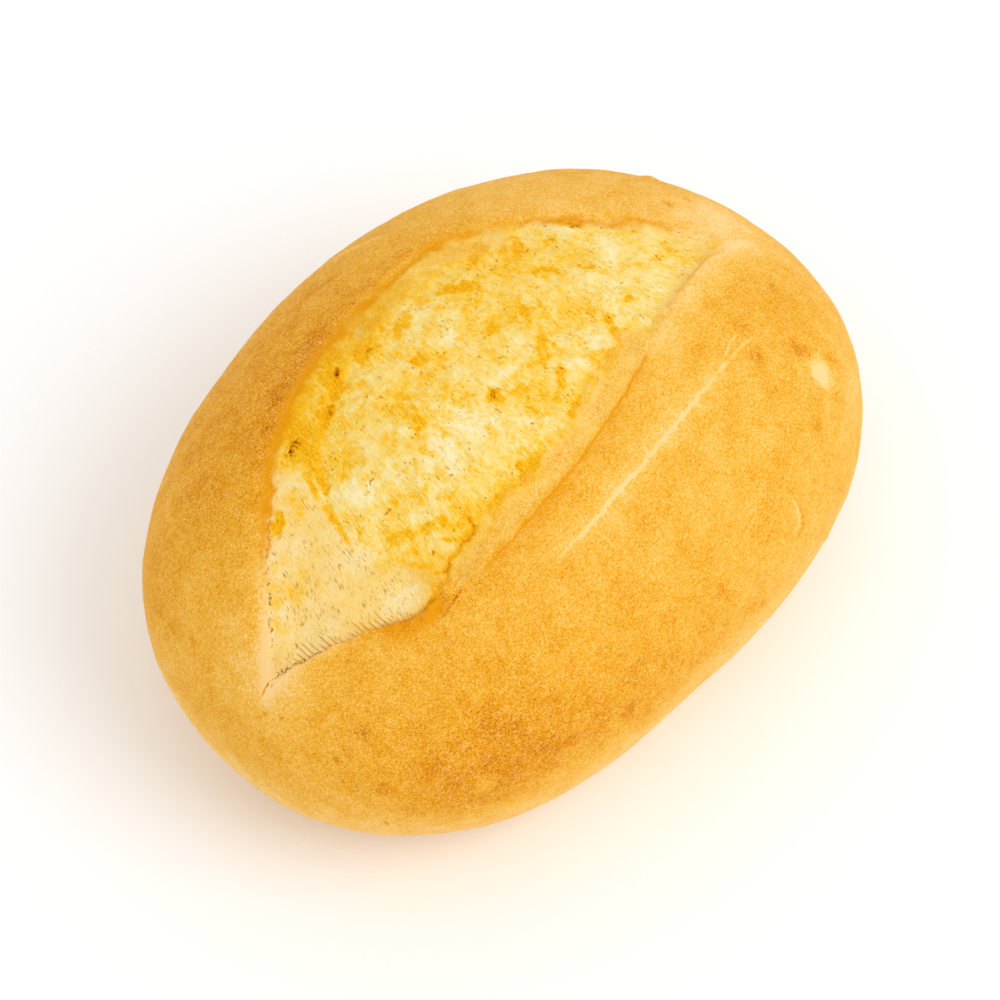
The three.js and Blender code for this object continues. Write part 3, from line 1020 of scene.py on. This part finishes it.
class Finish:
    """A material under construction."""

    def __init__(self, name):
        self.material = bpy.data.materials.new(name)
        self.material.use_nodes = True
        self.tree = self.material.node_tree
        self.shader = self.tree.nodes["Principled BSDF"]

    def node(self, kind, settings, sockets, output=0):
        """Adds a node: its settings first, then the values or links of its sockets."""
        node = self.tree.nodes.new(kind)
        for name, value in settings.items():
            if name == "stops":
                set_stops(node.color_ramp, value)
            else:
                setattr(node, name, value)
        for key, value in sockets.items():
            self.feed(node.inputs[key], value)
        return Field(self, node.outputs[output])

    def feed(self, socket, value):
        if isinstance(value, Field):
            self.tree.links.new(value.socket, socket)
        else:
            socket.default_value = value

    def place(self):
        """The place on the piece, in millimetres."""
        object_place = self.node("ShaderNodeTexCoord", {}, {}, "Object")
        settings = {"operation": "SCALE"}
        return self.node("ShaderNodeVectorMath", settings, {0: object_place, "Scale": 1 / MM})

    def part(self, place, axis):
        return self.node("ShaderNodeSeparateXYZ", {}, {"Vector": place}, axis)

    def vector(self, x, y):
        return self.node("ShaderNodeCombineXYZ", {}, {"X": x, "Y": y})

    def number(self, name):
        """A number kept on the mesh."""
        return self.node("ShaderNodeAttribute", {"attribute_name": name}, {}, "Fac")

    def noise(self, place, grain, detail=2.0, roughness=0.5, distortion=0.0):
        """Noise from 0 to 1 with lumps of about grain millimetres."""
        sockets = {"Vector": place, "Scale": 1 / grain, "Detail": detail, "Roughness": roughness}
        sockets["Distortion"] = distortion
        return self.node("ShaderNodeTexNoise", {}, sockets, "Fac")

    def pores(self, place, spacing, size):
        """1 in round pores of about size millimetres, strewn at about spacing millimetres."""
        sockets = {"Vector": place, "Scale": 1 / spacing}
        away = self.node("ShaderNodeTexVoronoi", {}, sockets, "Distance")
        return 1.0 - away.between(0.3 * size / spacing, 0.6 * size / spacing)

    def stretch(self, place, x, y, z):
        settings = {"operation": "DIVIDE"}
        return self.node("ShaderNodeVectorMath", settings, {0: place, 1: (x, y, z)})

    def ramp(self, value, stops):
        return self.node("ShaderNodeValToRGB", {"stops": stops}, {"Fac": value})

    def mix(self, share, low, high):
        """Colour low turning into colour high."""
        settings = {"data_type": "RGBA"}
        sockets = {0: share, 6: opaque(low), 7: opaque(high)}
        return self.node("ShaderNodeMix", settings, sockets, 2)

    def bump(self, height, depth, below=None):
        """Fine relief, depth millimetres deep, on top of other relief."""
        sockets = {"Height": height, "Distance": depth * MM, "Strength": 1.0}
        if below is not None:
            sockets["Normal"] = below
        return self.node("ShaderNodeBump", {}, sockets)

    def wear(self, **sockets):
        """Feeds the shader; underscores in the names stand for spaces."""
        for name, value in sockets.items():
            self.feed(self.shader.inputs[name.replace("_", " ")], value)
        return self.material


def set_stops(ramp, stops):
    """Gives a colour ramp its stops, each a place from 0 to 1 and a colour."""
    while len(ramp.elements) < len(stops):
        ramp.elements.new(1.0)
    for element, (place, colour) in zip(ramp.elements, stops):
        element.position = place
        element.color = opaque(colour)


def opaque(colour):
    return colour if isinstance(colour, Field) else (*colour, 1.0)


def seen(red, green, blue):
    """A colour given as a screen shows it, from 0 to 255, in the numbers that a shader takes."""
    return tuple(((value / 255 + 0.055) / 1.055) ** 2.4 if value > 10 else value / 3295
                 for value in (red, green, blue))


SEAM_ORANGE = seen(230, 151, 2)
CRACK_BROWN = seen(140, 74, 2)
# Painted shade: the dark, warm colour of the shade inside the crumb's small pits
PIT_SHADE_COLOUR = seen(192, 116, 2)
TAN = seen(180, 112, 2)
CREAM = seen(249, 205, 136)
# Pale colour of the fine squiggle lines laid over the crust
PALE_SQUIGGLE = seen(253, 214, 128)
TABLE_WHITE = (0.97, 0.97, 0.97, 1.0)

# From unbaked to dark
CRUST_SHADES = [
    (0.0, seen(250, 208, 138)),
    (0.19, seen(244, 188, 80)),
    (0.38, seen(234, 171, 46)),
    (0.56, seen(226, 150, 14)),
    (0.75, seen(208, 124, 3)),
    (1.0, seen(160, 82, 2)),
]
CRUMB_SHADES = [
    (0.0, seen(248, 232, 184)),
    (0.1, seen(247, 225, 154)),
    (0.22, seen(246, 217, 130)),
    (0.34, seen(247, 207, 98)),
    (0.44, seen(247, 198, 66)),
    (0.54, seen(247, 188, 32)),
    (0.64, seen(243, 174, 7)),
    (0.74, seen(231, 154, 2)),
    (0.84, seen(204, 129, 2)),
    (0.92, seen(162, 85, 2)),
    (1.0, seen(108, 34, 1)),
]
BREAD_SHINE = 0.08       # both surfaces are nearly without gloss


def crust_colour(finish, place, bake):
    """The baked skin's colour: grain, freckles and clouds of browning, and fine pale squiggles."""
    grain = finish.noise(place, 0.23, 2.0, 0.6)
    freckles = finish.noise(place, 0.5, 2.0)
    clouds = finish.noise(place, 3.4, 3.0)
    browning = bake + (grain - 0.5) * (1.3 + 0.7 * bake) + (freckles - 0.5) * 0.6 + (clouds - 0.5) * 0.5
    colour = finish.ramp(browning * 0.75, CRUST_SHADES)
    squiggles = finish.noise(place, 0.4, 1.0).line(0.5, 0.05)
    squiggles = squiggles * finish.noise(place, 1.1).between(0.40, 0.58) * (0.25 + 0.4 * bake)
    return finish.mix(squiggles.clamped(), colour, PALE_SQUIGGLE)


def glow_share(finish, place):
    """How much seam orange covers the skin, painted shade under the far lip's front included, broken up
    by a fine grain.
    """
    grain = finish.noise(place, 0.3, 3.0, 0.6)
    return (finish.number("glow") * (0.8 + (grain - 0.5) * 1.8)).clamped()


def streak_on(finish, place, streak):
    """1 on a streak's line, fading at its sides and ends."""
    run_x, run_y = streak.end[0] - streak.start[0], streak.end[1] - streak.start[1]
    length = math.hypot(run_x, run_y)
    x, y = finish.part(place, "X") - streak.start[0], finish.part(place, "Y") - streak.start[1]
    along = x * (run_x / length ** 2) + y * (run_y / length ** 2)
    across = y * (run_x / length) - x * (run_y / length)
    across = across - along * (1.0 - along) * (4 * streak.sag)
    waver = (finish.noise(place, 2.2, 3.0, 0.6) - 0.5) * (1.2 * streak.width + 0.6)
    ends = along.between(0.0, 0.25) * (1.0 - along.between(0.8, 1.0))
    return (across + waver).line(0.0, streak.width) * ends


def crust_finish():
    finish = Finish("baked_crust")
    place = finish.place()
    bake = finish.number("bake")
    above_waist = finish.part(place, "Z").between(WAIST_HEIGHT, WAIST_HEIGHT + 4)
    for streak in STREAKS:
        bake = bake + streak_on(finish, place, streak) * above_waist * streak.bake
    bake = bake + finish.pores(place, 3.0, 0.3) * finish.noise(place, 5.0).between(0.45, 0.6) * 0.4
    colour = finish.mix(glow_share(finish, place), crust_colour(finish, place, bake), SEAM_ORANGE)
    pebbles = finish.noise(place, 0.4, 2.0, 0.65)
    normal = finish.bump(pebbles, 0.10, finish.bump(finish.noise(place, 1.2, 2.0), 0.10))
    roughness = 0.5 + 0.25 * finish.noise(place, 0.8, 2.0)
    return finish.wear(
        Base_Color=colour, Roughness=roughness, Normal=normal, Specular_IOR_Level=BREAD_SHINE,
    )


def crumb_heat(finish, place, threads, webs, gathered):
    """How much heat the crumb caught: its patches, webs, veins, rear folds and burnt specks."""
    lively = 1.0 - finish.number("stretched") * 0.6
    veins = finish.noise(place, 1.3, 2.0, 0.6, 0.6).line(0.5, 0.05) + threads.line(0.56, 0.025)
    turns = finish.number("edge") + finish.noise(place, 1.6, 3.0, 0.6) * 2.2
    folds = turns.math("PINGPONG", turns, 0.45).line(0.45, 0.14) * finish.number("folding")
    heat = finish.number("toast") + lively * ((webs - 0.5) * 0.4 + webs.between(0.53, 0.58) * 0.07)
    heat = heat + gathered * veins * 0.14 + folds * 0.14
    heat = heat.math("SMOOTH_MIN", heat, 0.64, 0.12)
    scorch = finish.number("burnt").clamped() * finish.noise(place, 0.6, 1.0).between(0.32, 0.52)
    return heat - lively * threads.line(0.44, 0.03) * 0.18 + scorch * 0.36


def painted_pit_shade(finish, place, fibre, gathered):
    """1 in small pits, which are longer along the fibres than across them; the pits are painted darker
    as the shade inside them.
    """
    pits = finish.noise(finish.stretch(fibre, 1.0, 2.6, 1.0), 0.30, 0.0).between(0.60, 0.76)
    return pits * gathered * finish.noise(place, 1.4, 1.0).between(0.48, 0.60)


def comb_groove_shade(finish, place):
    """1 in the grooves that run out from under the hanging lip, side by side and unequally long, painted
    darker as the shade inside them.
    """
    teeth = finish.part(place, "X") + finish.noise(place, 3.0, 1.0) * 0.7
    length = finish.noise(finish.stretch(place, 1.0, 30.0, 30.0), 0.7, 1.0) * 7.0 - 1.6
    grooves = teeth.math("PINGPONG", teeth, 0.33).line(0.33, 0.15)
    return grooves * (length - finish.number("from_near")).between(0.0, 0.8) * finish.number("comb")


def lip_cracks(finish, place):
    """1 in the jagged crack inside the near lip at the rear tip, and in dots inside the far lip."""
    jags = (finish.noise(place, 0.8, 3.0, 0.6) - 0.5) * 2.2
    cracks = (finish.number("from_near") + jags).line(0.5, 0.2) * finish.number("splitting")
    cracks = cracks * finish.noise(place, 0.7, 1.0).between(0.38, 0.48)
    dots = (finish.number("from_far") + jags).line(0.7, 0.25) * finish.number("comb")
    dots = dots * finish.noise(place, 0.5, 1.0).between(0.46, 0.54)
    return (cracks + dots).clamped()


def crumb_finish():
    finish = Finish("torn_crumb")
    place = finish.place()
    fibre = finish.vector(finish.number("fibre_x"), finish.number("fibre_y"))
    drawn_out = finish.stretch(fibre, 1.0, 6.0, 1.0)
    strands = finish.noise(drawn_out, 0.17, 1.0, 0.6)
    threads = finish.noise(drawn_out, 0.6, 1.0)
    specks = finish.noise(place, 0.28, 2.0, 0.6)
    webs = finish.noise(place, 1.5, 4.0, 0.65, 0.8)
    gathered = finish.noise(place, 2.6, 2.0).between(0.42, 0.58) * finish.number("torn")
    heat = crumb_heat(finish, place, threads, webs, gathered)
    colour = finish.ramp(heat + (strands - 0.5) * 0.40 + (specks - 0.5) * 0.44, CRUMB_SHADES)
    skin_colour = crust_colour(finish, place, finish.number("bake"))
    colour = finish.mix(finish.number("skin").clamped(), colour, skin_colour)

    stretched = finish.number("stretched")
    untoasted = 1.0 - finish.number("toast").between(0.30, 0.48)
    shaded = strands.between(0.52, 0.70) * finish.noise(place, 1.6, 2.0).between(0.46, 0.62)
    for share, tint in (
        (stretched * untoasted * 0.35, CREAM),
        (stretched * shaded * 0.75, TAN),
        # Painted shade in the comb's grooves
        (comb_groove_shade(finish, place) * 0.75, TAN),
        # Painted shade inside the small pits
        (painted_pit_shade(finish, place, fibre, gathered) * 0.8, PIT_SHADE_COLOUR),
        (lip_cracks(finish, place) * 0.9, CRACK_BROWN),
        (glow_share(finish, place), SEAM_ORANGE),
    ):
        colour = finish.mix(share, colour, tint)
    normal = finish.bump(strands, 0.09, finish.bump(specks, 0.10, finish.bump(webs, 0.25)))
    return finish.wear(
        Base_Color=colour, Roughness=0.85, Normal=normal, Specular_IOR_Level=BREAD_SHINE,
    )


def table_finish():
    finish = Finish("white_table")
    return finish.wear(Base_Color=TABLE_WHITE, Roughness=0.9)


# ---- Studio ----------------------------------------------------------------------------------

VIEW_ELEVATION = 60.0    # degrees above the horizon
VIEW_AZIMUTH = -45.5     # degrees from straight along +Y
VIEW_DISTANCE = 700.0
VIEW_TARGET = (-1.6, -2.7, 23.5)
LENS = 180.7             # focal length
SENSOR = 36.0            # width of the camera's sensor
NEAREST_SEEN = 10.0      # what lies closer to the camera than this isn't rendered
LIGHT_TARGET = (0.0, 0.0, 25.0)
TABLE_SIZE = 6000.0
SKY_BRIGHTNESS = 0.90


def viewing_direction(azimuth, elevation):
    """From the target towards the eye; azimuth 0 looks along +Y."""
    a, e = math.radians(azimuth), math.radians(elevation)
    return Vector((math.sin(a) * math.cos(e), -math.cos(a) * math.cos(e), math.sin(e)))


def add_camera():
    towards_eye = viewing_direction(VIEW_AZIMUTH, VIEW_ELEVATION)
    place = (Vector(VIEW_TARGET) + VIEW_DISTANCE * towards_eye) * MM
    bpy.ops.object.camera_add(location=place, rotation=towards_eye.to_track_quat("Z", "Y").to_euler())
    camera = bpy.context.object
    camera.data.lens = LENS
    camera.data.sensor_width = SENSOR
    camera.data.clip_start = NEAREST_SEEN * MM
    bpy.context.scene.camera = camera


def add_softbox(name, azimuth, elevation, distance, size, watts):
    towards_light = viewing_direction(azimuth, elevation)
    place = (Vector(LIGHT_TARGET) + distance * towards_light) * MM
    turn = towards_light.to_track_quat("Z", "Y").to_euler()
    bpy.ops.object.light_add(type="AREA", location=place, rotation=turn)
    light = bpy.context.object
    light.name = light.data.name = name
    light.data.shape = "DISK"
    light.data.size = size * MM
    light.data.energy = watts


def add_studio():
    add_softbox("key_light", azimuth=20.0, elevation=50.0, distance=1300.0, size=900.0, watts=5.2)
    bpy.ops.mesh.primitive_plane_add(size=TABLE_SIZE * MM, location=(0, 0, 0))
    table = bpy.context.object
    table.name = table.data.name = "table"
    table.data.materials.append(table_finish())
    world = bpy.data.worlds.new("studio_walls")
    world.use_nodes = True
    walls = world.node_tree.nodes["Background"]
    walls.inputs["Color"].default_value = (1.0, 1.0, 1.0, 1.0)
    walls.inputs["Strength"].default_value = SKY_BRIGHTNESS
    scene = bpy.context.scene
    scene.world = world
    scene.view_settings.view_transform = "Standard"


# ---- Roll ------------------------------------------------------------------------------------

add_camera()
crust = make_crust()
crust.data.materials.append(crust_finish())
crumb = make_crumb()
crumb.data.materials.append(crumb_finish())
for piece, slot in ((crust, "crust"), (crumb, "torn_crumb")):
    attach(piece, "root")
    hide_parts("roll")
add_studio()
